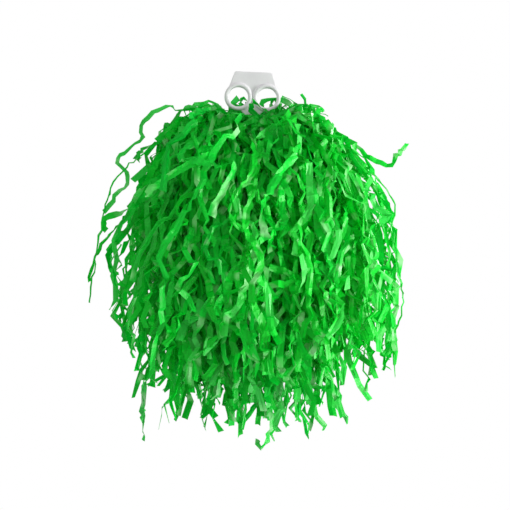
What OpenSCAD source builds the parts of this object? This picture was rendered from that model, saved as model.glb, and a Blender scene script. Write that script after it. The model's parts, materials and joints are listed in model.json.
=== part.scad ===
// Cheer pom pom with a two-finger handle.
// Origin: midway between the two finger rings, in the middle of the handle's thickness.
// X runs from ring to ring, Y is the axis of the ring bores, Z points up towards the palm plate.
// The handle hangs from the fingers. A cable tie swings in the slot of its stem and holds the
// gathered middle of the film sheets, whose slit ends fall to the left and to the right in layers.

/* [Handle] */
// Radius of the hole for one finger
bore_r = 10.5; // [9:0.5:11.5]
// Thickness of a ring's wall, from the bore to the outside
ring_wall = 4.3; // [3.5:0.1:5]
// Depth of a ring along its bore
ring_depth = 8; // [6:0.5:12]
// Radius of the rounded edges of a ring
ring_edge_r = 1.9; // [1:0.1:2]
// Distance between the centres of the two bores
ring_spacing = 30.6; // [30:0.2:34]
// Width of the palm plate along its top edge
plate_top_w = 40; // [30:1:46]
// Width of the palm plate where it meets the rings
plate_shoulder_w = 49.6; // [48:0.2:56]
// Height of the palm plate's top edge above the bores' centres
plate_top_z = 27.2; // [24:0.2:36]
// Thickness of the plate, the web and the stem
plate_t = 3.4; // [2.5:0.1:4]
// Radius of the palm plate's two top corners
plate_corner_r = 2.6; // [1:0.1:5]
// Width of the stem that goes down into the fringe
stem_w = 11; // [10:0.5:14]
// Depth of the stem's end below the bores' centres
stem_end_z = 37.8; // [36:0.2:42]

/* [Cable tie] */
// Width of the strap
strap_w = 4.6; // [3.6:0.1:4.8]
// Thickness of the strap
strap_t = 1.3; // [1:0.1:1.5]
// Inner radius of the strap where it hangs over the bar below the slot
strap_bend_r = 2.5; // [2.5:0.1:3]
// Length of the trimmed tail below the head
tail_len = 7; // [3:1:12]

/* [Film] */
// Radius of the gathered middle of the sheets inside the tie
band_r = 11; // [9:0.5:12]
// Half the length of the gathered middle
band_half = 13; // [12:0.5:14]
// Thickness of each layer of strips
layer_t = 4; // [2:0.5:5]
// Radius of the fringe at its widest
fringe_r = 153; // [130:1:170]
// Depth of the longest strips' ends below the bores' centres
fringe_end_z = 368; // [300:1:400]
// How much shorter the shortest strips of a layer are than the longest
ragged = 26; // [0:1:40]
// Strips in each 60 degrees of a layer
strips_per_sextant = 6; // [3:1:9]
// Angle left open between neighbouring locks
lock_gap = 4.8; // [4.6:0.1:6]
// Angle left open between the strips of one lock
strip_gap = 1.6; // [0.5:0.1:3]

/* [Hidden] */
// More than 12, so that every circle is a true one
$fn = 64;
cut = 1;

// Handle
ring_x = ring_spacing / 2;
ring_r = bore_r + ring_wall;
plate_shoulder_z = 12.8;
shoulder_foot = [ring_x + 11, 9];
web_top_z = -7;
web_side = [12.6, -14.2];
stem_top_z = -21.4;
stem_corner_r = 1.6;
slot_w = 6.4;
slot_h = 5;
bar_h = 2.6;
slot_z = bar_h + slot_h / 2 - stem_end_z;

// The tie swings round the middle of the bar below the slot
swing_z = bar_h / 2 - stem_end_z;
bar_to_band = 3.1;
band_z = swing_z - bar_to_band - band_r;
strap_clear = 0.1;
loop_r = band_r + strap_clear;
flare_r = band_r + 2.5;
head_w = 7;
head_t = 4.4;
head_h = 6;
tail_gap = 0.1;

// Fringe: the layers from the outside in, each a bell with a flat top, a round shoulder and a skirt
LAYERS = ["outer", "middle", "inner", "core"];
LOCKS = [6, 6, 4, 2];
PLACES = [
    ["right_side", "right_back", "left_back", "left_side", "left_front", "right_front"],
    ["right_side", "right_back", "left_back", "left_side", "left_front", "right_front"],
    ["right_front", "right_back", "left_back", "left_front"],
    ["right", "left"]
];
// Angle of the first lock's middle in each layer, and the film's green there
FIRST_AT = [0, 0, -45, 0];
GREENS = [[0.08, 0.62, 0.16], [0.06, 0.54, 0.13], [0.04, 0.45, 0.10], [0.03, 0.36, 0.08]];
layer_r = [for (k = [0:3]) fringe_r - k * 31.5];
layer_top = [for (k = [0:3]) -26 - k * 15.5];
layer_end = [for (k = [0:3]) -fringe_end_z + k * 12];
shoulder_r = [for (k = [0:3]) 70 - k * 14];
root_r = 19;
root_end_r = 30;

function lock_name(layer, lock) = str(PLACES[layer][lock], "_", LAYERS[layer], "_lock");
function strips_in(layer) = strips_per_sextant * 6 / LOCKS[layer];
// Strip lengths repeat from the middle of a lock to both sides, so each lock stays balanced
function strip_end(layer, strip) =
    let (from_middle = abs(strip - (strips_in(layer) - 1) / 2))
    layer_end[layer] + ragged * (0.5 + 0.5 * sin(137.5 * (from_middle + 3 * layer)));

// A disc of the ring's full outline with its outer edges rounded
module ring_disc() {
    rotate([90, 0, 0]) rotate_extrude() {
        translate([0, -ring_depth / 2 + ring_edge_r])
            square([ring_r, ring_depth - 2 * ring_edge_r]);
        translate([0, -ring_depth / 2]) square([ring_r - ring_edge_r, ring_depth]);
        for (side = [-1, 1])
            translate([ring_r - ring_edge_r, side * (ring_depth / 2 - ring_edge_r)])
                circle(ring_edge_r);
    }
}

// The bore that is cut through a ring, opening out at both faces
module ring_bore() {
    rotate([90, 0, 0]) rotate_extrude() {
        translate([0, -ring_depth / 2 - cut]) square([bore_r, ring_depth + 2 * cut]);
        for (side = [0, 1]) mirror([0, side]) difference() {
            translate([0, ring_depth / 2 - ring_edge_r])
                square([bore_r + ring_edge_r, ring_edge_r + cut]);
            translate([bore_r + ring_edge_r, ring_depth / 2 - ring_edge_r])
                circle(ring_edge_r);
        }
    }
}

// Outline of the palm plate, with round top corners
module plate_outline() {
    half = plate_top_w / 2;
    slope = atan((plate_shoulder_w / 2 - half) / (plate_top_z - plate_shoulder_z));
    reach = plate_corner_r * tan((90 - slope) / 2);
    for (side = [0, 1]) mirror([side, 0]) {
        polygon([
            [0, plate_top_z], [half - reach, plate_top_z],
            [half + reach * sin(slope), plate_top_z - reach * cos(slope)],
            [plate_shoulder_w / 2, plate_shoulder_z], shoulder_foot, [ring_x, 0], [0, 0]
        ]);
        translate([half - reach, plate_top_z - plate_corner_r]) circle(plate_corner_r);
    }
}

// Outline of the web between the rings and of the stem below it
module stem_outline() {
    half = stem_w / 2;
    for (side = [0, 1]) mirror([side, 0]) {
        polygon([
            [0, cut], [ring_x, 0], [ring_x, web_top_z], web_side, [half, stem_top_z],
            [half, stem_corner_r - stem_end_z], [half - stem_corner_r, -stem_end_z],
            [0, -stem_end_z]
        ]);
        translate([half - stem_corner_r, stem_corner_r - stem_end_z]) circle(stem_corner_r);
    }
}

// Teardrop between a circle round the bar and a bigger one round the gathered film
module strap_outline(bar_r, film_r) {
    tilt = asin((film_r - bar_r) / (swing_z - band_z));
    translate([0, swing_z]) circle(bar_r);
    translate([0, band_z]) circle(film_r);
    polygon([
        [bar_r * cos(tilt), swing_z + bar_r * sin(tilt)],
        [film_r * cos(tilt), band_z + film_r * sin(tilt)],
        [-film_r * cos(tilt), band_z + film_r * sin(tilt)],
        [-bar_r * cos(tilt), swing_z + bar_r * sin(tilt)]
    ]);
}

// Filled half section of a bell: flat top, round shoulder, straight skirt
module bell_section(r, top, corner, end) {
    translate([0, end]) square([r, top - corner - end]);
    translate([0, end]) square([r - corner, top - end]);
    translate([r - corner, top - corner]) circle(corner);
}

// Half section of one layer of film, down to the given end
module layer_section(layer, end) {
    difference() {
        bell_section(layer_r[layer], layer_top[layer], shoulder_r[layer], end);
        bell_section(layer_r[layer] - layer_t, layer_top[layer] - layer_t,
            shoulder_r[layer] - layer_t, end - cut);
        translate([-cut, end - 2 * cut]) square([root_r + cut, layer_top[layer] - end + 3 * cut]);
    }
}

module finger_handle() {
    color([0.93, 0.93, 0.94]) difference() {
        union() {
            for (side = [-1, 1]) translate([side * ring_x, 0, 0]) ring_disc();
            rotate([90, 0, 0]) translate([0, 0, -plate_t / 2]) linear_extrude(plate_t) {
                plate_outline();
                stem_outline();
            }
        }
        for (side = [-1, 1]) translate([side * ring_x, 0, 0]) ring_bore();
        translate([-slot_w / 2, -plate_t, slot_z - slot_h / 2]) cube([slot_w, 2 * plate_t, slot_h]);
    }
}

module cable_tie() {
    color([0.90, 0.91, 0.92]) {
        rotate([90, 0, 90]) translate([0, 0, -strap_w / 2]) linear_extrude(strap_w) difference() {
            strap_outline(strap_bend_r + strap_t, loop_r + strap_t);
            strap_outline(strap_bend_r, loop_r);
        }
        // The head sits behind the film, and the trimmed tail comes out below it
        translate([0, loop_r + strap_t / 2, band_z]) {
            difference() {
                translate([-head_w / 2, 0, -head_h / 2]) cube([head_w, head_t, head_h]);
                translate([-strap_w / 2, strap_t / 2 + tail_gap, -head_h])
                    cube([strap_w, strap_t + tail_gap, 2 * head_h]);
            }
            translate([-strap_w / 2, strap_t / 2 + tail_gap, -head_h / 2 - tail_len])
                cube([strap_w, strap_t, head_h + tail_len]);
        }
    }
}

// A waist under the strap that opens out towards both ends
module gathered_band() {
    waist = [[band_r, strap_w], [flare_r, band_half - 2], [flare_r - 1, band_half], [0, band_half]];
    color([0.05, 0.50, 0.12]) translate([0, 0, band_z]) rotate([0, 90, 0]) rotate_extrude()
        polygon(concat(
            [for (i = [3:-1:0]) [waist[i].x, -waist[i].y]],
            waist
        ));
}

// Prism between two planes through the Z axis, its middle on the X axis
module wedge(angle, from_r, to_r, from_z, to_z) {
    slope = tan(angle / 2);
    translate([0, 0, from_z]) linear_extrude(to_z - from_z) polygon([
        [from_r, -from_r * slope], [to_r, -to_r * slope], [to_r, to_r * slope], [from_r, from_r * slope]
    ]);
}

// One lock: its share of a layer, slit into strips beyond the root, each cut to its own length
module film_lock(layer, lock) {
    span = 360 / LOCKS[layer];
    strips = strips_in(layer);
    pitch = (span - lock_gap + strip_gap) / strips;
    end = layer_end[layer];
    beyond_r = 1.2 * layer_r[layer];
    color(GREENS[layer]) rotate([0, 0, FIRST_AT[layer] + span * lock - (span - lock_gap) / 2])
        difference() {
            rotate_extrude(angle = span - lock_gap) layer_section(layer, end);
            for (slit = [1:strips - 1]) rotate([0, 0, pitch * slit - strip_gap / 2])
                wedge(strip_gap, root_end_r, beyond_r, end - cut, cut);
            for (strip = [0:strips - 1]) rotate([0, 0, pitch * (strip + 0.5) - strip_gap / 2])
                wedge(pitch - strip_gap / 2, root_end_r, beyond_r, end - cut, strip_end(layer, strip));
        }
}

finger_handle();
cable_tie();
gathered_band();
for (layer = [0:3], lock = [0:LOCKS[layer] - 1])
    film_lock(layer, lock);
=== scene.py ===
"""The looks of a cheer pom pom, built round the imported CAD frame. Lengths are in metres."""

import json
import math

import bpy
import numpy as np
from mathutils import Matrix, Vector

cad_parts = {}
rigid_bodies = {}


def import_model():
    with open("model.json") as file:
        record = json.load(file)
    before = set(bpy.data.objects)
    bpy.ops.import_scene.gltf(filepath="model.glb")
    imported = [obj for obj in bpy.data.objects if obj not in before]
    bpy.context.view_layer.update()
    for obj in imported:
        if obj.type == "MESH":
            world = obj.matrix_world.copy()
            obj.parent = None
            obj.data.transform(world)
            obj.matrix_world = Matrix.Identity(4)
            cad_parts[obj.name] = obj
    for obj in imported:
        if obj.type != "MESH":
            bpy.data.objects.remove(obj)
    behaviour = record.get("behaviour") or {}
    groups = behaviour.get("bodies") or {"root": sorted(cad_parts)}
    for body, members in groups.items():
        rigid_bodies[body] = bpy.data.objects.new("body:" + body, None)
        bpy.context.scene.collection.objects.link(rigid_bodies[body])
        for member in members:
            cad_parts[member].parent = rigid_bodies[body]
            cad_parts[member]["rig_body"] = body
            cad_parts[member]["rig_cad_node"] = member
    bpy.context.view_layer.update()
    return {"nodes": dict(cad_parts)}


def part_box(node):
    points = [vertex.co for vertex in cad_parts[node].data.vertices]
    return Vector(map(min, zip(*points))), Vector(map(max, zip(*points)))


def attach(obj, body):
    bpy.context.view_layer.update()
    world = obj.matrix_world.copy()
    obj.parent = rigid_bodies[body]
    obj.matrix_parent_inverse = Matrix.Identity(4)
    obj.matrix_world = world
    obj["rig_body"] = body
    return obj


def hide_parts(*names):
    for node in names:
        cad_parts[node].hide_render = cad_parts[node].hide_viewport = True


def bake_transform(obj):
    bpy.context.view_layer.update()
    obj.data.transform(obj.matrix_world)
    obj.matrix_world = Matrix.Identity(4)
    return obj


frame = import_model()
band_low, band_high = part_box("gathered_band")

# Camera: level and straight on, rolled a little because the handle hangs at a slant
VIEW_WIDTH = 0.546
CAMERA_DISTANCE = 1.6
SENSOR_WIDTH = 36.0
VIEW_CENTRE = Vector((0.010, 0.0, -0.1684))
ROLL = math.radians(2.5)
# The way down for what hangs, in the handle's own frame
DOWN = np.array([math.sin(ROLL), 0.0, -math.cos(ROLL)])

# White studio: strength of the light from all round, the point that the lamps aim at, and the floor
AMBIENT = 0.56
LIT_MIDDLE = (0, 0, -0.17)
FLOOR_SIZE, FLOOR_Z = 10, -1.8
# Lamp: place, size, power in watts, and whether glossy surfaces mirror it
LAMPS = {
    "key_right": ((1.60, -0.50, 0.02), 0.40, 25, True),
    "low_right": ((1.15, -0.75, -0.92), 0.40, 16, True),
    "front_soft": ((0.1, -1.6, 0.6), 0.50, 4, False),
    "left_soft": ((-1.5, -0.6, 0.0), 0.40, 3, False),
    "top_soft": ((0.3, -0.4, 1.4), 0.40, 2, False),
    "back_right": ((1.0, 1.3, 0.3), 0.40, 10, True),
    "back_left": ((-1.1, 1.2, 0.1), 0.40, 6, False),
}

# Film strips: width, length of a whole one in each layer, and the step along their guide lines
STRIP_W = 0.0070
STRIP_LEN = {"outer": 0.396, "middle": 0.410, "inner": 0.400, "core": 0.385}
LONGEST = max(STRIP_LEN.values())
GUIDE_STEP = 0.005
# Whole, trimmed and short strips: the part of the full length that each has, and each layer's shares
CUTS = [(0.95, 1.0), (0.75, 0.95), (0.32, 0.76)]
CUT_SHARES = {
    "outer": [0.38, 0.24, 0.38], "middle": [0.38, 0.24, 0.38],
    "inner": [0.60, 0.25, 0.15], "core": [0.60, 0.25, 0.15],
}
# Long and short facets between the creases of a strip, the share of long ones, the deepest crease, and the
# gap between creases beyond which they get no deeper
LONG_FACET, SHORT_FACET, LONG_SHARE = (0.009, 0.021), (0.0035, 0.009), 0.45
DEEPEST_CREASE, LONGEST_GAP = 0.006, 0.016
# Strips face away from the point at this height on the handle's axis, and lower down from the axis itself
HUB_Z = -0.13
# A stray strip is drawn uncut, with its face towards the viewer
UNCUT, STRAY_FACING = 1.0, (0.1, -1.0, 0.15)

# A strip's way out of the tie: how soon its kick upwards fades, how soon its tangling fades, and how far
# out it gets while it turns down, as a part of the turn's length
KICK_FADE, TANGLE_FADE, TURN_REACH = 0.050, 0.065, 0.62

# The dome that the film keeps under: height of its top, radius of its flat part, how sharply it falls
# beyond that, and how far it is shifted to the right
DOME_TOP, DOME_FLAT, DOME_CURVE, DOME_SHIFT = -0.005, 0.045, 9.0, 0.007
# The film is pressed to about RING_FOOT in front of the rings, which stay free. It may stand higher beside
# the handle and behind it: where each rise starts, over what run, and how high it gets. Towards the front
# the limit slopes down
RING_FOOT = -0.0212
BESIDE_START, BESIDE_RUN, BESIDE_RISE = 0.027, 0.016, 0.013
BEHIND_START, BEHIND_RUN, BEHIND_RISE = 0.012, 0.013, 0.018
FRONT_SLOPE = 0.09
# The stem swings in the film about a hinge at SWING_Z: how far down from there the film keeps clear of it,
# half the depth kept clear at the hinge, and a little over the tangent of the swing's limit
SWING_Z, STEM_BELOW, STEM_HALF_DEPTH, SWING_SLOPE = -0.0365, 0.006, 0.005, 0.37
# The room that the film leaves on each side of the stem's middle, the run over which that ends in front of
# the swing and behind it, and a value that lifts the limit there
STEM_ROOM, ROOM_RUN, ROOM_OFF = 0.0098, 0.010, 0.10
# Radius of the fringe about its middle line, slack beyond it, and how the hem draws in: from what depth,
# over what run and by how much
SIDE, SIDE_SLACK = 0.146, 0.015
HEM_START, HEM_RUN, HEM_IN = 0.21, 0.14, 0.022
# Slope of the middle line off plumb, and the radius and slack of the room about the handle's own axis
SWAY = 0.050
ROOM, ROOM_SLACK = 0.155, 0.008
# A strip ends where its middle gets below this height
LOWEST = -0.368

# Gathered middle of the film: radius of its waist, half the waist's length, the run to its full width,
# and the depth of its pleats in the waist and the gain outside it
BAND_WAIST, WAIST_HALF, WAIST_RUN = 0.0108, 0.0025, 0.009
PLEATS, PLEAT_DEPTH, PLEAT_GAIN = 34, 0.0011, 0.0022
BAND_ROWS, BAND_COLUMNS, BAND_SEED = 28, 240, 9

# Handle: grain of its even mesh, and how often its edges are softened
HANDLE_VOXEL, FILLET_PASSES = 0.0005, 10

PLACES_OF_SIX = {
    "right_side": 0, "right_back": 60, "left_back": 120,
    "left_side": 180, "left_front": 240, "right_front": 300,
}
PLACES_OF_FOUR = {"right_front": -45, "right_back": 45, "left_back": 135, "left_front": 225}
PLACES_OF_TWO = {"right": 0, "left": 180}
# Layer: places, angle of one lock, strips in a lock, nearest and furthest reach of its strips
LAYERS = {
    "outer": (PLACES_OF_SIX, 60, 150, 0.096, 0.138),
    "middle": (PLACES_OF_SIX, 60, 84, 0.070, 0.106),
    "inner": (PLACES_OF_FOUR, 90, 68, 0.040, 0.080),
    "core": (PLACES_OF_TWO, 180, 84, 0.012, 0.050),
}
# How high on the gathered band a layer's strips start, from 0 to 1, how much its colour is darkened as
# painted shade on the deeper layers, which less light reaches, and how much wider a lock spreads than its
# own angle
ROOT_HEIGHTS = {"outer": 1.0, "middle": 0.72, "inner": 0.42, "core": 0.1}
PAINTED_LAYER_SHADE = {"outer": 1.0, "middle": 0.94, "inner": 0.86, "core": 0.8}
OVERLAP = 1.06
FIRST_SEED = 101


# ---------------------------------------------------------------- camera, light and floor

def make_camera():
    data = bpy.data.cameras.new("camera")
    data.sensor_width = SENSOR_WIDTH
    data.lens = SENSOR_WIDTH * CAMERA_DISTANCE / VIEW_WIDTH
    camera = bpy.data.objects.new("camera", data)
    bpy.context.scene.collection.objects.link(camera)
    across = Vector((math.cos(ROLL), 0, math.sin(ROLL)))
    up = Vector((-math.sin(ROLL), 0, math.cos(ROLL)))
    turn = Matrix((across, up, across.cross(up))).transposed().to_4x4()
    camera.matrix_world = Matrix.Translation(VIEW_CENTRE - Vector((0, CAMERA_DISTANCE, 0))) @ turn
    bpy.context.scene.camera = camera


def make_lamp(name, place, size, power, glints):
    data = bpy.data.lights.new(name, "AREA")
    data.size = size
    data.energy = power
    lamp = bpy.data.objects.new(name, data)
    bpy.context.scene.collection.objects.link(lamp)
    lamp.location = place
    lamp.visible_glossy = glints
    lamp.rotation_euler = (Vector(LIT_MIDDLE) - Vector(place)).to_track_quat("-Z", "Y").to_euler()


def make_world():
    """White to the camera, and a weaker white light to everything else."""
    world = bpy.data.worlds.new("studio")
    bpy.context.scene.world = world
    world.use_nodes = True
    tree = world.node_tree
    glow = tree.nodes["Background"]
    backdrop = tree.nodes.new("ShaderNodeBackground")
    for node, strength in ((glow, AMBIENT), (backdrop, 1.0)):
        node.inputs["Color"].default_value = (1, 1, 1, 1)
        node.inputs["Strength"].default_value = strength
    path = tree.nodes.new("ShaderNodeLightPath")
    either = tree.nodes.new("ShaderNodeMixShader")
    tree.links.new(path.outputs["Is Camera Ray"], either.inputs["Fac"])
    tree.links.new(glow.outputs["Background"], either.inputs[1])
    tree.links.new(backdrop.outputs["Background"], either.inputs[2])
    tree.links.new(either.outputs["Shader"], tree.nodes["World Output"].inputs["Surface"])
    world.cycles_visibility.glossy = False


def make_studio():
    make_world()
    for name, (place, size, power, glints) in LAMPS.items():
        make_lamp(name, place, size, power, glints)
    bpy.ops.mesh.primitive_plane_add(size=FLOOR_SIZE, location=(0, 0, FLOOR_Z))
    floor = bpy.context.object
    floor.name = "floor"
    floor.data.materials.append(floor_material())
    floor.visible_glossy = False


# ---------------------------------------------------------------- materials

class Nodes:
    """Short calls that build a material's node tree."""

    def __init__(self, name):
        self.material = bpy.data.materials.new(name)
        self.material.use_nodes = True
        self.tree = self.material.node_tree
        self.shader = self.tree.nodes["Principled BSDF"]
        self.output = self.tree.nodes["Material Output"]

    def add(self, kind, inputs=None, **settings):
        node = self.tree.nodes.new(kind)
        for key, value in settings.items():
            setattr(node, key, value)
        for key, value in (inputs or {}).items():
            if isinstance(value, bpy.types.NodeSocket):
                self.tree.links.new(value, node.inputs[key])
            else:
                node.inputs[key].default_value = value
        return node

    def link(self, source, target):
        self.tree.links.new(source, target)

    def mix_shaders(self, factor, first, second):
        mixed = self.add("ShaderNodeMixShader", {"Fac": factor})
        self.link(first, mixed.inputs[1])
        self.link(second, mixed.inputs[2])
        return mixed.outputs["Shader"]

    def ramp(self, factor, stops):
        node = self.add("ShaderNodeValToRGB", {"Fac": factor})
        while len(node.color_ramp.elements) < len(stops):
            node.color_ramp.elements.new(0.5)
        for element, (place, colour) in zip(node.color_ramp.elements, stops):
            element.position = place
            element.color = (*colour, 1)
        return node.outputs["Color"]

    def place(self, scale=(1, 1, 1)):
        coordinates = self.add("ShaderNodeTexCoord")
        mapping = self.add("ShaderNodeMapping", {"Vector": coordinates.outputs["Object"], "Scale": scale})
        return mapping.outputs["Vector"]

    def noise(self, scale, detail=3.0, roughness=0.5, vector=None):
        inputs = {"Scale": scale, "Detail": detail, "Roughness": roughness}
        inputs["Vector"] = self.place() if vector is None else vector
        return self.add("ShaderNodeTexNoise", inputs).outputs["Fac"]

    def bump(self, height, strength, distance, normal=None):
        inputs = {"Height": height, "Strength": strength, "Distance": distance}
        if normal is not None:
            inputs["Normal"] = normal
        return self.add("ShaderNodeBump", inputs).outputs["Normal"]


def film_material(name, painted_shade):
    """Thin green film: glossy, crumpled, and letting some light through. The layer's factor darkens the
    deeper layers as painted shade.
    """
    n = Nodes(name)
    island = n.add("ShaderNodeNewGeometry").outputs["Random Per Island"]
    # Each strip's own green, at random, times the layer's factor: painted shade on the deeper layers
    strip = n.ramp(island, [
        (0.0, (0.0001, 0.61 * painted_shade, 0.022)),
        (0.45, (0.0002, 0.69 * painted_shade, 0.030)),
        (0.78, (0.001, 0.71 * painted_shade, 0.044)),
        (1.0, (0.06, 0.73 * painted_shade, 0.10)),
    ])
    patches = n.noise(38, 2)
    patch = n.ramp(patches, [(0.3, (0.82, 0.84, 0.80)), (0.7, (1.0, 1.0, 1.0))])
    tint = n.add("ShaderNodeMix", {"Factor": 1.0}, data_type="RGBA", blend_type="MULTIPLY")
    n.link(strip, tint.inputs["A"])
    n.link(patch, tint.inputs["B"])
    # Each strip has pale patches of its own: painted sheen, a whitish green that stands in for the film's
    # highlights
    own = n.add("ShaderNodeMath", {0: island, 1: 37.0}, operation="MULTIPLY")
    painted_sheen_inputs = {"Vector": n.place(), "W": own.outputs["Value"], "Scale": 44.0, "Detail": 1.0}
    painted_sheen_noise = n.add("ShaderNodeTexNoise", painted_sheen_inputs, noise_dimensions="4D")
    painted_sheen_mask = n.ramp(painted_sheen_noise.outputs["Fac"], [(0.59, (0, 0, 0)), (0.72, (0.85, 0.85, 0.85))])
    pale = n.add("ShaderNodeMix", {"Factor": painted_sheen_mask}, data_type="RGBA")
    n.link(tint.outputs["Result"], pale.inputs["A"])
    pale.inputs["B"].default_value = (0.32, 0.82 * painted_shade, 0.32, 1)
    green = pale.outputs["Result"]
    n.link(green, n.shader.inputs["Base Color"])
    wrinkles = n.noise(330, 3, 0.6, n.place((0.5, 0.5, 1.2)))
    creases = n.noise(110, 2, 0.5, n.place((1.2, 1.2, 0.8)))
    normal = n.bump(wrinkles, 0.25, 0.0012, n.bump(creases, 0.4, 0.003))
    n.link(normal, n.shader.inputs["Normal"])
    gloss = n.add("ShaderNodeMapRange", {"Value": patches, "To Min": 0.33, "To Max": 0.48})
    n.link(gloss.outputs["Result"], n.shader.inputs["Roughness"])
    n.shader.inputs["IOR"].default_value = 1.5
    n.shader.inputs["Specular IOR Level"].default_value = 0.5
    through = n.add("ShaderNodeBsdfTranslucent", {"Color": green, "Normal": normal})
    film = n.mix_shaders(0.28, n.shader.outputs["BSDF"], through.outputs["BSDF"])
    n.link(film, n.output.inputs["Surface"])
    return n.material


def floor_material():
    """A pale floor that looks plain white to the camera."""
    n = Nodes("floor_white")
    n.shader.inputs["Base Color"].default_value = (0.90, 0.90, 0.90, 1)
    n.shader.inputs["Roughness"].default_value = 0.9
    seen = n.add("ShaderNodeEmission", {"Color": (1, 1, 1, 1)})
    path = n.add("ShaderNodeLightPath")
    either = n.mix_shaders(path.outputs["Is Camera Ray"], n.shader.outputs["BSDF"], seen.outputs["Emission"])
    n.link(either, n.output.inputs["Surface"])
    return n.material


def moulded_material(name, colour, roughness):
    """Moulded plastic: satin, faintly uneven, a little darker in cloudy patches."""
    n = Nodes(name)
    cloud = n.noise(60, 3)
    low = tuple(0.95 * c for c in colour)
    n.link(n.ramp(cloud, [(0.35, low), (0.65, colour)]), n.shader.inputs["Base Color"])
    grain = n.noise(1800, 2)
    spread = {"Value": cloud, "To Min": roughness - 0.06, "To Max": roughness + 0.08}
    gloss = n.add("ShaderNodeMapRange", spread)
    n.link(gloss.outputs["Result"], n.shader.inputs["Roughness"])
    n.link(n.bump(grain, 0.08, 0.0002, n.bump(cloud, 0.05, 0.001)), n.shader.inputs["Normal"])
    return n.material


# ---------------------------------------------------------------- film strips

def unit(vectors):
    return vectors / np.maximum(np.linalg.norm(vectors, axis=-1, keepdims=True), 1e-9)


def wander(rng, along, size, shortest=0.035, longest=0.15):
    """A slow random wave along a strip, about size in amplitude: three waves, which add up to about 1.7."""
    waves = zip(rng.uniform(shortest, longest, 3), rng.uniform(0, 2 * math.pi, 3), rng.normal(0, 1, 3))
    return size * sum(a * np.sin(2 * math.pi * along / length + phase) for length, phase, a in waves) / 1.7


def smooth(x):
    """0 below 0, 1 above 1, and an even rise between them."""
    x = np.clip(x, 0, 1)
    return x * x * (3 - 2 * x)


def lengths_along(line):
    """The length of a line up to each of its points."""
    return np.concatenate([[0], np.cumsum(np.linalg.norm(np.diff(line, axis=0), axis=1))])


def fall_line(rng, root, azimuth, reach, kick, turn, flare, lean, drift):
    """The line that a strip follows: up and out of the tie, over the dome in one long turn, and down.
    kick and flare are angles above level at the root and off plumb at the end."""
    along = np.arange(0, LONGEST, GUIDE_STEP)
    out = reach - math.hypot(root[0], root[1])
    level = max(0.0, out - TURN_REACH * turn)
    falling = np.clip((along - level) / turn, 0, 1)
    rise = kick * np.exp(-((along / KICK_FADE) ** 2))
    tangle = 1 + 2.0 * np.exp(-along / TANGLE_FADE)
    climb = rise * (1 - 0.6 * falling) + (flare - math.pi / 2) * falling
    climb = climb + wander(rng, along, 2.5 * lean, 0.040, 0.10) * tangle
    heading = azimuth + wander(rng, along, 0.26) * tangle
    side = (drift + wander(rng, along, lean) * tangle) * smooth(along / 0.03)
    ways = np.stack([
        np.cos(climb) * np.cos(heading) - side * np.sin(heading),
        np.cos(climb) * np.sin(heading) + side * np.cos(heading),
        np.sin(climb),
    ], axis=1)
    plumb = DOWN - np.array([0, 0, -1.0])
    ways = unit(ways + falling[:, None] * plumb)
    line = root + np.cumsum(ways, axis=0) * GUIDE_STEP
    line = clear_of_stem(line, math.copysign(1, root[0]))
    return held_in(pressed_down(line, rng.uniform(-0.006, 0.020), rng.uniform(0, 0.008)))


def clear_of_stem(line, side):
    """Leads a line past the space that the handle's stem swings through, on the line's own side."""
    swept = STEM_HALF_DEPTH + SWING_SLOPE * np.maximum(line[:, 2] - SWING_Z, 0)
    nearest = STEM_ROOM - ROOM_OFF * smooth((np.abs(line[:, 1]) - swept) / ROOM_RUN)
    above = line[:, 2] > SWING_Z - STEM_BELOW
    line[:, 0] = np.where(above, side * np.maximum(side * line[:, 0], nearest), line[:, 0])
    return line


def held_in(line):
    """Draws in what would fly too far out from the fringe's middle line, or out of its room."""
    side = SIDE - HEM_IN * smooth((-line[:, 2] - HEM_START) / HEM_RUN)
    for hang, most, slack in ((DOWN[0] + SWAY, side, SIDE_SLACK), (0.0, ROOM, ROOM_SLACK)):
        centre = np.stack([-hang * line[:, 2], 0 * line[:, 2]], axis=1)
        offset = line[:, :2] - centre
        spread = np.linalg.norm(offset, axis=1)
        drawn = np.where(spread > most, most + slack * np.tanh((spread - most) / slack), spread)
        line[:, :2] = centre + offset * (drawn / np.maximum(spread, 1e-6))[:, None]
    return line


def pressed_down(line, under_dome, under_rings, give=0.22):
    """Presses a line down where it would stand above the dome or cover the handle's rings."""
    beside = smooth((np.abs(line[:, 0]) - BESIDE_START) / BESIDE_RUN)
    behind = smooth((line[:, 1] - BEHIND_START) / BEHIND_RUN)
    rings = RING_FOOT + BESIDE_RISE * beside + BEHIND_RISE * behind * (1 - 0.5 * beside) - under_rings
    rings = rings + FRONT_SLOPE * np.minimum(line[:, 1], 0) * (1 - 0.6 * beside)
    spread = np.linalg.norm(line[:, :2], axis=1)
    near = spread + 0.02
    out = spread * (1 + DOME_SHIFT / near) - DOME_SHIFT * line[:, 0] / near
    dome = DOME_TOP - DOME_CURVE * np.maximum(0, out - DOME_FLAT) ** 2 - under_dome
    pressed = line.copy()
    pressed[:, 2] -= (1 - give) * np.maximum(0, pressed[:, 2] - dome)
    pressed[:, 2] -= (1 - 0.3 * give) * np.maximum(0, pressed[:, 2] - rings)
    return pressed


def line_through(points):
    """A smooth line through a few points, in steps of GUIDE_STEP."""
    points = np.array(points, float)
    padded = np.vstack([2 * points[0] - points[1], points, 2 * points[-1] - points[-2]])
    made = []
    for a, b, c, d in zip(padded, padded[1:], padded[2:], padded[3:]):
        for t in np.linspace(0, 1, max(2, int(np.linalg.norm(c - b) / GUIDE_STEP)), endpoint=False):
            made.append(0.5 * (2 * b + (c - a) * t + (2 * a - 5 * b + 4 * c - d) * t * t
                               + (3 * b - a - 3 * c + d) * t ** 3))
    made.append(points[-1])
    return np.array(made)


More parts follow.
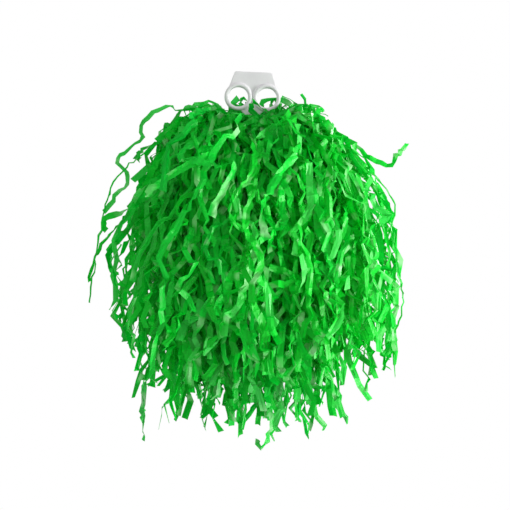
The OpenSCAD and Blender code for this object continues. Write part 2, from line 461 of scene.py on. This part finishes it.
def crease_places(rng, total, stray):
    """Where a strip is creased along its guide line: long and short facets, all shorter near the root.
    A stray strip has short ones only, because its guide line bends as the strip does."""
    places = [0.0]
    while places[-1] < total:
        facet = rng.uniform(*LONG_FACET) if rng.random() < LONG_SHARE else rng.uniform(*SHORT_FACET)
        near_root = 0.55 + 0.45 * min(1, places[-1] / 0.11)
        places.append(places[-1] + (0.3 * facet + 0.003 if stray else facet * near_root))
    return np.array(places[:-1] + [total])


def twisted(rng, centre, twist, facing):
    """The directions across a strip and off its face, which twist at random on the way down.
    The film mostly lies flat against the strips under it, and turns away from that now and then."""
    count = len(centre)
    way = unit(np.gradient(centre, axis=0))
    hub = np.stack([0 * centre[:, 2], 0 * centre[:, 2], np.minimum(centre[:, 2] + 0.005, HUB_Z)], axis=1)
    outward = unit(centre - hub) if facing is None else np.tile(facing, (count, 1))
    flips = (rng.random(count) < 0.12) * rng.normal(0, 1.4, count)
    angle = [rng.uniform(-1.2, 1.2)]
    for jolt in rng.normal(0, twist, count) + flips:
        angle.append(0.80 * angle[-1] + jolt)
    angle = np.array(angle[1:]) + (rng.normal(0, 0.38) if facing is None else 0)
    level = unit(np.cross(way, outward))
    other = np.cross(level, way)
    across = level * np.cos(angle)[:, None] + other * np.sin(angle)[:, None]
    return across, np.cross(way, across)


def creased(rng, places, centre, across, normal, zigzag):
    """Moves a line's points to and fro, further where its facets are longer."""
    sign = np.where(np.arange(len(places)) % 2 == 0, 1.0, -1.0) * rng.choice([-1, 1])
    gaps = np.minimum(np.gradient(places), LONGEST_GAP)
    sharp = rng.choice([0.5, 1.0, 2.0], size=len(places), p=[0.5, 0.35, 0.15])
    crushed = 1 + 1.2 * np.exp(-places / 0.06)
    depth = sign * np.abs(rng.normal(0, zigzag, len(places))) * sharp * crushed * gaps * 0.5
    sideways = rng.normal(0, 0.15, len(places)) * gaps * crushed
    depth = np.clip(depth, -DEEPEST_CREASE, DEEPEST_CREASE)
    depth[0] = sideways[0] = 0
    return centre + normal * depth[:, None] + across * sideways[:, None]


def crinkle(rng, guide, width, length, zigzag, twist=0.32, fold=None, facing=None):
    """One strip of film as rows of three points across it, folded to and fro about a guide line.
    A strip with a facing is a stray one, which keeps to its line and turns its face that way."""
    stray = facing is not None
    along = lengths_along(guide)
    places = crease_places(rng, along[-1], stray)
    centre = np.stack([np.interp(places, along, guide[:, k]) for k in range(3)], axis=1)
    across, normal = twisted(rng, centre, twist, facing)
    centre = creased(rng, places, centre, across, normal, zigzag)
    if not stray:
        centre = clear_of_stem(pressed_down(centre, -0.012, -0.001), math.copysign(1, guide[0][0]))
    # The strip is cut where its own length runs out, or where it reaches the lowest height
    lengths = lengths_along(centre)
    too_low = int(np.argmax(centre[:, 2] < LOWEST)) or len(centre)
    keep = max(4, min(int(np.searchsorted(lengths, length)) + 1, too_low))
    centre, across, normal = centre[:keep], across[:keep], normal[:keep]
    way = unit(np.gradient(centre, axis=0))
    across = unit(across - way * np.sum(across * way, axis=1, keepdims=True))
    normal = np.cross(way, across)
    slant = rng.normal(0, 0.22, len(centre))
    across = across + way * slant[:, None]
    half = width / 2
    if fold is None:
        fold = rng.choice([0.04, 0.12, 0.30, 0.43], p=[0.62, 0.25, 0.10, 0.03])
    # The middle stands off the edges by the fold, and the edges come closer together as it does
    ridge = fold * rng.choice([-1, 1]) + wander(rng, lengths[:len(centre)], 0.08)
    ridge = (ridge + rng.normal(0, 0.05, len(centre))) * width
    narrow = np.sqrt(np.maximum(half ** 2 - ridge ** 2, (0.5 * half) ** 2))
    left = centre - across * narrow[:, None]
    right = centre + across * narrow[:, None]
    middle = centre + normal * ridge[:, None]
    return np.stack([left, middle, right], axis=1)


# Strips that stand out from the rest, placed one by one at guessed depths: the points that each passes,
# its width and how it is folded
STRAYS = {
    ("left_side", "outer"): [
        ([(-0.012, -0.004, -0.044), (-0.032, -0.012, -0.014), (-0.052, -0.018, -0.008),
          (-0.076, -0.020, -0.021), (-0.087, -0.022, -0.014), (-0.099, -0.022, -0.021),
          (-0.111, -0.022, -0.030), (-0.117, -0.020, -0.042), (-0.113, -0.020, -0.048),
          (-0.122, -0.018, -0.058), (-0.138, -0.020, -0.071), (-0.139, -0.018, -0.080),
          (-0.131, -0.016, -0.083), (-0.130, -0.016, -0.098), (-0.140, -0.018, -0.112),
          (-0.144, -0.018, -0.122), (-0.152, -0.020, -0.130)], 0.0056, 0.25),
        ([(-0.012, 0.004, -0.044), (-0.040, -0.010, -0.018), (-0.070, -0.030, -0.026),
          (-0.098, -0.034, -0.056), (-0.118, -0.030, -0.072), (-0.132, -0.026, -0.084),
          (-0.140, -0.024, -0.094), (-0.149, -0.024, -0.116), (-0.155, -0.024, -0.150),
          (-0.158, -0.024, -0.182), (-0.160, -0.024, -0.205), (-0.162, -0.024, -0.226)], 0.0034, 0.43),
        ([(-0.012, -0.008, -0.046), (-0.040, -0.030, -0.026), (-0.078, -0.050, -0.052),
          (-0.104, -0.056, -0.092), (-0.113, -0.054, -0.120), (-0.132, -0.048, -0.130),
          (-0.150, -0.042, -0.140), (-0.146, -0.040, -0.150)], 0.0070, 0.08),
        ([(-0.012, -0.006, -0.048), (-0.044, -0.030, -0.030), (-0.080, -0.046, -0.058),
          (-0.108, -0.050, -0.104), (-0.120, -0.048, -0.126), (-0.136, -0.044, -0.146),
          (-0.150, -0.040, -0.164), (-0.158, -0.036, -0.184), (-0.162, -0.034, -0.204)], 0.0056, 0.25),
        ([(-0.012, 0.002, -0.048), (-0.050, 0.010, -0.024), (-0.092, 0.016, -0.050),
          (-0.116, 0.016, -0.092), (-0.124, 0.012, -0.140), (-0.142, 0.006, -0.162),
          (-0.146, 0.004, -0.168), (-0.144, 0.004, -0.190), (-0.137, 0.004, -0.196)], 0.0060, 0.16),
    ],
    ("right_side", "outer"): [
        ([(0.012, -0.002, -0.044), (0.040, -0.006, -0.018), (0.078, -0.010, -0.026),
          (0.108, -0.012, -0.046), (0.132, -0.012, -0.063), (0.142, -0.012, -0.067),
          (0.152, -0.012, -0.066), (0.154, -0.010, -0.055), (0.157, -0.012, -0.058),
          (0.160, -0.010, -0.049), (0.163, -0.012, -0.051), (0.166, -0.011, -0.043)], 0.0058, 0.10),
        ([(0.012, -0.006, -0.046), (0.044, -0.030, -0.022), (0.088, -0.044, -0.044),
          (0.122, -0.046, -0.074), (0.142, -0.042, -0.092), (0.154, -0.040, -0.110),
          (0.150, -0.036, -0.136), (0.156, -0.034, -0.156), (0.160, -0.032, -0.176),
          (0.166, -0.030, -0.196), (0.165, -0.030, -0.220), (0.160, -0.030, -0.244)], 0.0034, 0.43),
        ([(0.012, 0.004, -0.046), (0.050, 0.006, -0.020), (0.096, 0.010, -0.050), (0.128, 0.012, -0.082),
          (0.148, 0.010, -0.104), (0.156, 0.010, -0.122), (0.146, 0.008, -0.128), (0.152, 0.008, -0.150)],
         0.0046, 0.30),
        ([(0.012, -0.004, -0.046), (0.050, -0.020, -0.022), (0.098, -0.030, -0.054),
          (0.134, -0.034, -0.098), (0.146, -0.034, -0.140), (0.152, -0.032, -0.190),
          (0.150, -0.030, -0.230), (0.156, -0.028, -0.262), (0.150, -0.026, -0.284)], 0.0046, 0.30),
    ],
    ("left_front", "outer"): [
        ([(-0.006, -0.010, -0.044), (-0.026, -0.044, -0.026), (-0.055, -0.086, -0.056),
          (-0.070, -0.105, -0.072), (-0.059, -0.114, -0.077), (-0.046, -0.120, -0.080),
          (-0.028, -0.128, -0.082), (-0.013, -0.132, -0.078), (-0.014, -0.138, -0.084),
          (-0.021, -0.145, -0.101), (-0.028, -0.150, -0.117), (-0.034, -0.152, -0.133)], 0.0088, 0.05),
        ([(-0.008, -0.008, -0.044), (-0.024, -0.050, -0.032), (-0.034, -0.098, -0.062),
          (-0.045, -0.114, -0.074), (-0.061, -0.117, -0.082), (-0.078, -0.115, -0.094),
          (-0.093, -0.111, -0.105), (-0.101, -0.107, -0.112)], 0.0080, 0.06),
        ([(-0.004, -0.010, -0.046), (0.002, -0.070, -0.044), (0.006, -0.124, -0.076),
          (0.004, -0.138, -0.090), (-0.002, -0.144, -0.098), (-0.009, -0.148, -0.108),
          (-0.017, -0.154, -0.124), (-0.011, -0.156, -0.138), (-0.002, -0.156, -0.146)], 0.0062, 0.12),
    ],
    ("right_front", "outer"): [
        ([(0.004, -0.010, -0.046), (0.030, -0.050, -0.032), (0.051, -0.085, -0.052),
          (0.035, -0.118, -0.080), (0.024, -0.138, -0.102), (0.016, -0.150, -0.118),
          (0.015, -0.157, -0.136), (0.022, -0.160, -0.153)], 0.0080, 0.08),
        ([(0.004, -0.010, -0.046), (0.010, -0.070, -0.046), (0.006, -0.126, -0.090),
          (0.000, -0.148, -0.144), (0.011, -0.156, -0.160), (0.017, -0.160, -0.175),
          (0.010, -0.162, -0.193), (0.009, -0.162, -0.212), (0.020, -0.160, -0.233),
          (0.024, -0.158, -0.252)], 0.0080, 0.10),
    ],
    ("right_front", "inner"): [
        ([(0.010, -0.010, -0.046), (0.004, -0.020, -0.024), (0.000, -0.022, -0.006),
          (0.010, -0.020, -0.012), (0.020, -0.026, -0.020), (0.030, -0.036, -0.030),
          (0.034, -0.050, -0.046)], 0.0068, 0.08),
        ([(0.010, -0.006, -0.046), (0.026, -0.018, -0.024), (0.024, -0.034, -0.018),
          (0.017, -0.056, -0.031), (0.008, -0.092, -0.056), (0.005, -0.122, -0.082),
          (0.004, -0.137, -0.099)], 0.0080, 0.06),
    ],
    ("right_back", "inner"): [
        ([(0.008, 0.006, -0.044), (0.014, 0.018, -0.016), (0.008, 0.022, -0.004), (0.018, 0.020, 0.000),
          (0.028, 0.018, 0.002), (0.042, 0.014, -0.004), (0.060, 0.004, -0.010)], 0.0066, 0.08),
        ([(0.010, 0.006, -0.044), (0.024, 0.016, -0.014), (0.020, 0.020, -0.002), (0.026, 0.024, 0.003),
          (0.030, 0.030, -0.010), (0.036, 0.040, -0.024)], 0.0066, 0.12),
        ([(0.010, 0.004, -0.044), (0.030, 0.012, -0.014), (0.034, 0.012, 0.002), (0.050, 0.010, -0.004),
          (0.066, 0.006, -0.010), (0.082, 0.002, -0.016)], 0.0022, 0.43),
        ([(0.012, 0.004, -0.044), (0.040, 0.010, -0.014), (0.058, 0.010, -0.004), (0.056, 0.010, 0.004),
          (0.054, 0.010, 0.008)], 0.0032, 0.30),
    ],
    ("left_back", "inner"): [
        ([(-0.008, 0.006, -0.044), (-0.016, 0.016, -0.016), (-0.020, 0.020, -0.002),
          (-0.016, 0.022, 0.003), (-0.012, 0.024, -0.004), (-0.008, 0.030, -0.020)], 0.0070, 0.06),
        ([(-0.010, 0.006, -0.044), (-0.012, 0.018, -0.014), (-0.014, 0.022, 0.000),
          (-0.008, 0.022, 0.002), (-0.004, 0.026, -0.008), (-0.006, 0.036, -0.024)], 0.0068, 0.10),
        ([(-0.010, 0.006, -0.044), (-0.022, 0.016, -0.014), (-0.024, 0.020, -0.008),
          (-0.018, 0.022, -0.006), (-0.010, 0.026, -0.012)], 0.0066, 0.10),
    ],
    ("right", "core"): [
        ([(0.010, -0.004, -0.060), (0.020, -0.030, -0.120), (0.026, -0.048, -0.200),
          (0.028, -0.056, -0.270), (0.028, -0.060, -0.312), (0.033, -0.060, -0.331),
          (0.035, -0.060, -0.343), (0.033, -0.060, -0.351), (0.030, -0.060, -0.358),
          (0.029, -0.060, -0.3635), (0.0255, -0.060, -0.3665), (0.0215, -0.060, -0.3635),
          (0.022, -0.060, -0.3585)], 0.0064, 0.14),
    ],
}


def film_object(name, points, faces, material):
    mesh = bpy.data.meshes.new(name)
    mesh.from_pydata(points.tolist(), [], faces)
    mesh.materials.append(material)
    mesh.update()
    made = bpy.data.objects.new(name, mesh)
    bpy.context.scene.collection.objects.link(made)
    return made


class FilmMesh:
    """Gathers strips into one mesh."""

    def __init__(self):
        self.points, self.faces, self.count = [], [], 0

    def add(self, rows):
        n = len(rows)
        base = self.count
        self.points.append(rows.reshape(-1, 3))
        for i in range(n - 1):
            a = base + 3 * i
            self.faces.append((a, a + 1, a + 4, a + 3))
            self.faces.append((a + 1, a + 2, a + 5, a + 4))
        self.count += 3 * n

    def piece(self, name, material):
        return film_object(name, np.concatenate(self.points), self.faces, material)


def root_of(rng, azimuth, height):
    """Where a strip leaves the gathered band: on the end that its side of the film falls from."""
    side = 1.0 if math.cos(azimuth) > 0 else -1.0
    centre_z = (band_low.z + band_high.z) / 2
    radius = 0.8 * (band_high.z - band_low.z) / 2
    spin = math.radians(90) * (1 - height)
    lateral = math.sin(azimuth)
    return np.array([
        side * band_high.x * rng.uniform(0.55, 1.0),
        radius * lateral * rng.uniform(0.5, 1.0),
        centre_z + radius * math.cos(2 * spin) * rng.uniform(0.7, 1.0),
    ])


def layer_strip(rng, layer, azimuth, near, far):
    """One strip of a layer, with its own reach, kick, lean and length."""
    reach = rng.uniform(near, far) * (1 + 0.12 * math.cos(azimuth))
    height = ROOT_HEIGHTS[layer]
    kick = math.radians(rng.uniform(20, 68) * height)
    turn = rng.uniform(0.155, 0.19) * (reach / 0.14) ** 1.1
    flare = math.radians(rng.normal(0.5, 4.0))
    lean = rng.choice([0.18, 0.32, 0.50], p=[0.38, 0.38, 0.24])
    root = root_of(rng, azimuth, height)
    guide = fall_line(rng, root, azimuth, reach, kick, turn, flare, lean, rng.normal(0, 0.27))
    cut = rng.choice([0, 1, 2], p=CUT_SHARES[layer])
    shorter = [rng.uniform(*part) for part in CUTS][cut]
    width = STRIP_W * rng.uniform(0.80, 1.20)
    return crinkle(rng, guide, width, STRIP_LEN[layer] * shorter, zigzag=rng.uniform(0.45, 1.05))


def make_lock(layer, place, seed, material):
    """The film of one lock: its random strips, and the stray ones that hang in it."""
    places, span, count, near, far = LAYERS[layer]
    degrees = places[place]
    rng = np.random.default_rng(seed)
    film = FilmMesh()
    spread = OVERLAP * span
    for i in range(count):
        azimuth = math.radians(degrees + spread * ((i + rng.random()) / count - 0.5))
        film.add(layer_strip(rng, layer, azimuth, near, far))
    for points, width, fold in STRAYS.get((place, layer), []):
        guide = line_through(points)
        film.add(crinkle(rng, guide, width, UNCUT, zigzag=0.2, twist=0.3, fold=fold, facing=STRAY_FACING))
    node = f"{place}_{layer}_lock"
    made = film.piece(f"film_{place}_{layer}", material)
    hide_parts(node)
    if layer in ("outer", "middle"):
        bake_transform(made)
    else:
        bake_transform(made)


def make_band(material):
    """The uncut middle of the sheets, gathered into pleats and pinched to a waist under the strap."""
    rng = np.random.default_rng(BAND_SEED)
    centre_z = (band_low.z + band_high.z) / 2
    flare = (band_high.z - band_low.z) / 2
    x = np.linspace(band_low.x, band_high.x, BAND_ROWS)
    opening = smooth((np.abs(x) - WAIST_HALF) / WAIST_RUN)[:, None]
    turn = np.linspace(0, 2 * math.pi, BAND_COLUMNS, endpoint=False)[None, :]
    swerve = sum(rng.normal(0, 0.35) * np.sin(k * turn + rng.uniform(0, 6)) for k in (2, 3, 5))
    pleat = np.abs(np.sin(PLEATS / 2 * turn + swerve + 0.8 * opening * np.sin(3 * turn)))
    depth = (PLEAT_DEPTH + PLEAT_GAIN * opening) * (1 + 0.35 * np.sin(7 * turn + 1))
    radius = BAND_WAIST + (flare - BAND_WAIST) * opening - depth * pleat
    across = x[:, None] + 0 * turn
    points = np.stack([across, radius * np.sin(turn), centre_z + radius * np.cos(turn)], axis=-1)
    faces = []
    for i in range(BAND_ROWS - 1):
        for k in range(BAND_COLUMNS):
            a, b = i * BAND_COLUMNS, (k + 1) % BAND_COLUMNS
            faces.append((a + k, a + b, a + BAND_COLUMNS + b, a + BAND_COLUMNS + k))
    made = film_object("film_middle", points.reshape(-1, 3), faces, material)
    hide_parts("gathered_band")
    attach(made, "bundle")


# ---------------------------------------------------------------- handle and tie

def make_handle(material):
    """The moulding, with soft fillets where the rings, the plate and the stem run into each other."""
    made = frame["nodes"]["finger_handle"].copy()
    made.data = made.data.copy()
    made.name = "handle_moulding"
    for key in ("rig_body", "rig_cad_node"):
        if key in made:
            del made[key]
    made.parent = None
    bpy.context.scene.collection.objects.link(made)
    remesh = made.modifiers.new("even_mesh", "REMESH")
    remesh.mode = "VOXEL"
    remesh.voxel_size = HANDLE_VOXEL
    soften = made.modifiers.new("fillets", "SMOOTH")
    soften.factor = 0.5
    soften.iterations = FILLET_PASSES
    bpy.context.view_layer.update()
    graph = bpy.context.evaluated_depsgraph_get()
    mesh = bpy.data.meshes.new_from_object(made.evaluated_get(graph))
    made.modifiers.clear()
    made.data = mesh
    mesh.materials.clear()
    mesh.materials.append(material)
    mesh.shade_smooth()
    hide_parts("finger_handle")
    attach(made, "handle")


make_camera()
make_studio()
white_plastic = moulded_material("white_moulding", (0.765, 0.755, 0.770), 0.42)
nylon = moulded_material("tie_nylon", (0.70, 0.72, 0.71), 0.42)
frame["nodes"]["cable_tie"].data.materials.clear()
frame["nodes"]["cable_tie"].data.materials.append(nylon)
make_handle(white_plastic)

films = {layer: film_material(f"film_{layer}", painted_shade) for layer, painted_shade in PAINTED_LAYER_SHADE.items()}
# The gathered middle takes the inner layer's film, with its painted shade
make_band(films["inner"])

seed = FIRST_SEED
for layer, (places, *_) in LAYERS.items():
    for place in places:
        make_lock(layer, place, seed, films[layer])
        seed += 1

scene = bpy.context.scene
scene.view_settings.view_transform = "Standard"
scene.view_settings.look = "None"
